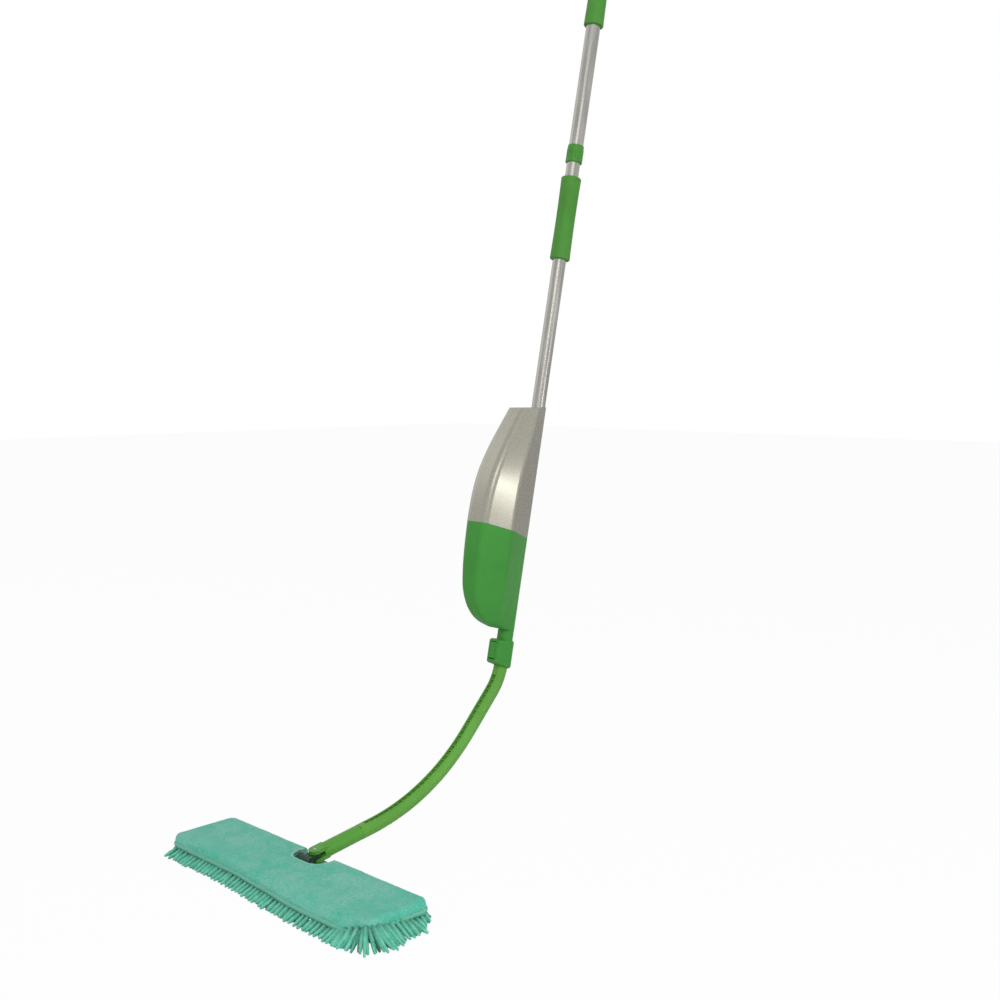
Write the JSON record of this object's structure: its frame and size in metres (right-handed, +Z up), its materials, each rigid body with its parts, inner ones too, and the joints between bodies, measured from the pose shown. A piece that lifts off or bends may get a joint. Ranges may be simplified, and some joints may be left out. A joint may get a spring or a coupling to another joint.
{
  "type": "flat mop",
  "caption": "Flat mop: fringed plush pad on a ribbed plate, two-axis joint, curved neck, tank with lift-off cover on the pole, telescopic tube with twist collar.",
  "frame": {"origin": "middle of the pad's sole, on the floor", "axes": "+X along the head, +Y back towards the user, +Z up; the pole leans 12 degrees back"},
  "size_m": [0.46, 0.7316, 1.387],
  "materials": {
    "sole_pile": "looped microfibre pile",
    "plush": "short dense plush nap",
    "binding_tape": "woven binding tape, stitched",
    "fringe_yarn": "twisted microfibre strands",
    "frame_green": "moulded, ribbed",
    "joint_green": "moulded",
    "neck_green": "moulded, semi-gloss",
    "housing_green": "moulded, semi-gloss",
    "silver_plastic": "metallic silver lacquer over moulded plastic",
    "cap_grey": "moulded",
    "seal_rubber": "moulded",
    "tube_steel": "satin, thin drawn steel tube",
    "grip_green": "soft moulded sleeve",
    "collar_green": "moulded",
    "steel": "plain",
    "spring_steel": "drawn wire"
  },
  "bodies": {
    "pole": {"neck_socket": "neck_green", "socket_screw": "steel", "yaw_pin": "steel", "neck_arm": "neck_green", "coupling": "housing_green", "latch_pin": "steel", "latch_spring": "spring_steel", "tube_screw": "steel", "tank": "housing_green", "tank_screws": "steel", "drip_valve": "seal_rubber", "lower_tube": "tube_steel", "mid_grip": "grip_green", "guide_bush": "cap_grey"},
    "cross": {"joint_cross": "joint_green"},
    "head": {"pad_sole": "sole_pile", "pad_cover": "plush", "pad_binding": "binding_tape", "pad_fringe": "fringe_yarn", "frame_plate": "frame_green", "hub": "joint_green", "hub_screws": "steel", "pitch_pin": "steel"},
    "latch": {"latch_lever": "housing_green"},
    "cap": {"filler_cap": "cap_grey", "cap_seal": "seal_rubber"},
    "cover": {"tank_cover": "silver_plastic"},
    "upper": {"upper_tube": "tube_steel", "ferrule": "cap_grey", "top_grip": "grip_green", "end_cap": "collar_green"},
    "collar": {"lock_collar": "collar_green"}
  },
  "joints": [
    {"name": "head_yaw", "type": "hinge", "parent": "pole", "child": "cross", "pos_m": [0, 0.03884, 0.03007], "axis": [0, -0.1392, 0.9903], "range_deg": [-40, 40]},
    {"name": "head_pitch", "type": "hinge", "parent": "cross", "child": "head", "pos_m": [0, 0.022, 0.0277], "axis": [-1, 0, 0], "range_deg": [-3, 80]},
    {"name": "latch_press", "type": "hinge", "parent": "pole", "child": "latch", "pos_m": [0, 0.39196, 0.2571], "axis": [1, 0, 0], "range_deg": [0, 10], "stiffness_Nm_per_rad": 0.3, "springref_deg": -14.32, "deforming": ["latch_spring"]},
    {"name": "cap_turn", "type": "hinge", "parent": "pole", "child": "cap", "pos_m": [0, 0.39606, 0.47602], "axis": [0, 0.2079, 0.9781], "range_deg": [0, 90]},
    {"name": "cover_lift", "type": "slide", "parent": "pole", "child": "cover", "axis": [0, 0.2079, 0.9781], "range_m": [0, 0.15]},
    {"name": "pole_telescope", "type": "slide", "parent": "pole", "child": "upper", "axis": [0, 0.2079, 0.9781], "range_m": [-0.018, 0.2]},
    {"name": "collar_twist", "type": "hinge", "parent": "upper", "child": "collar", "pos_m": [0, 0.57339, 1.03129], "axis": [0, 0.2079, 0.9781], "range_deg": [0, 90]}
  ]
}
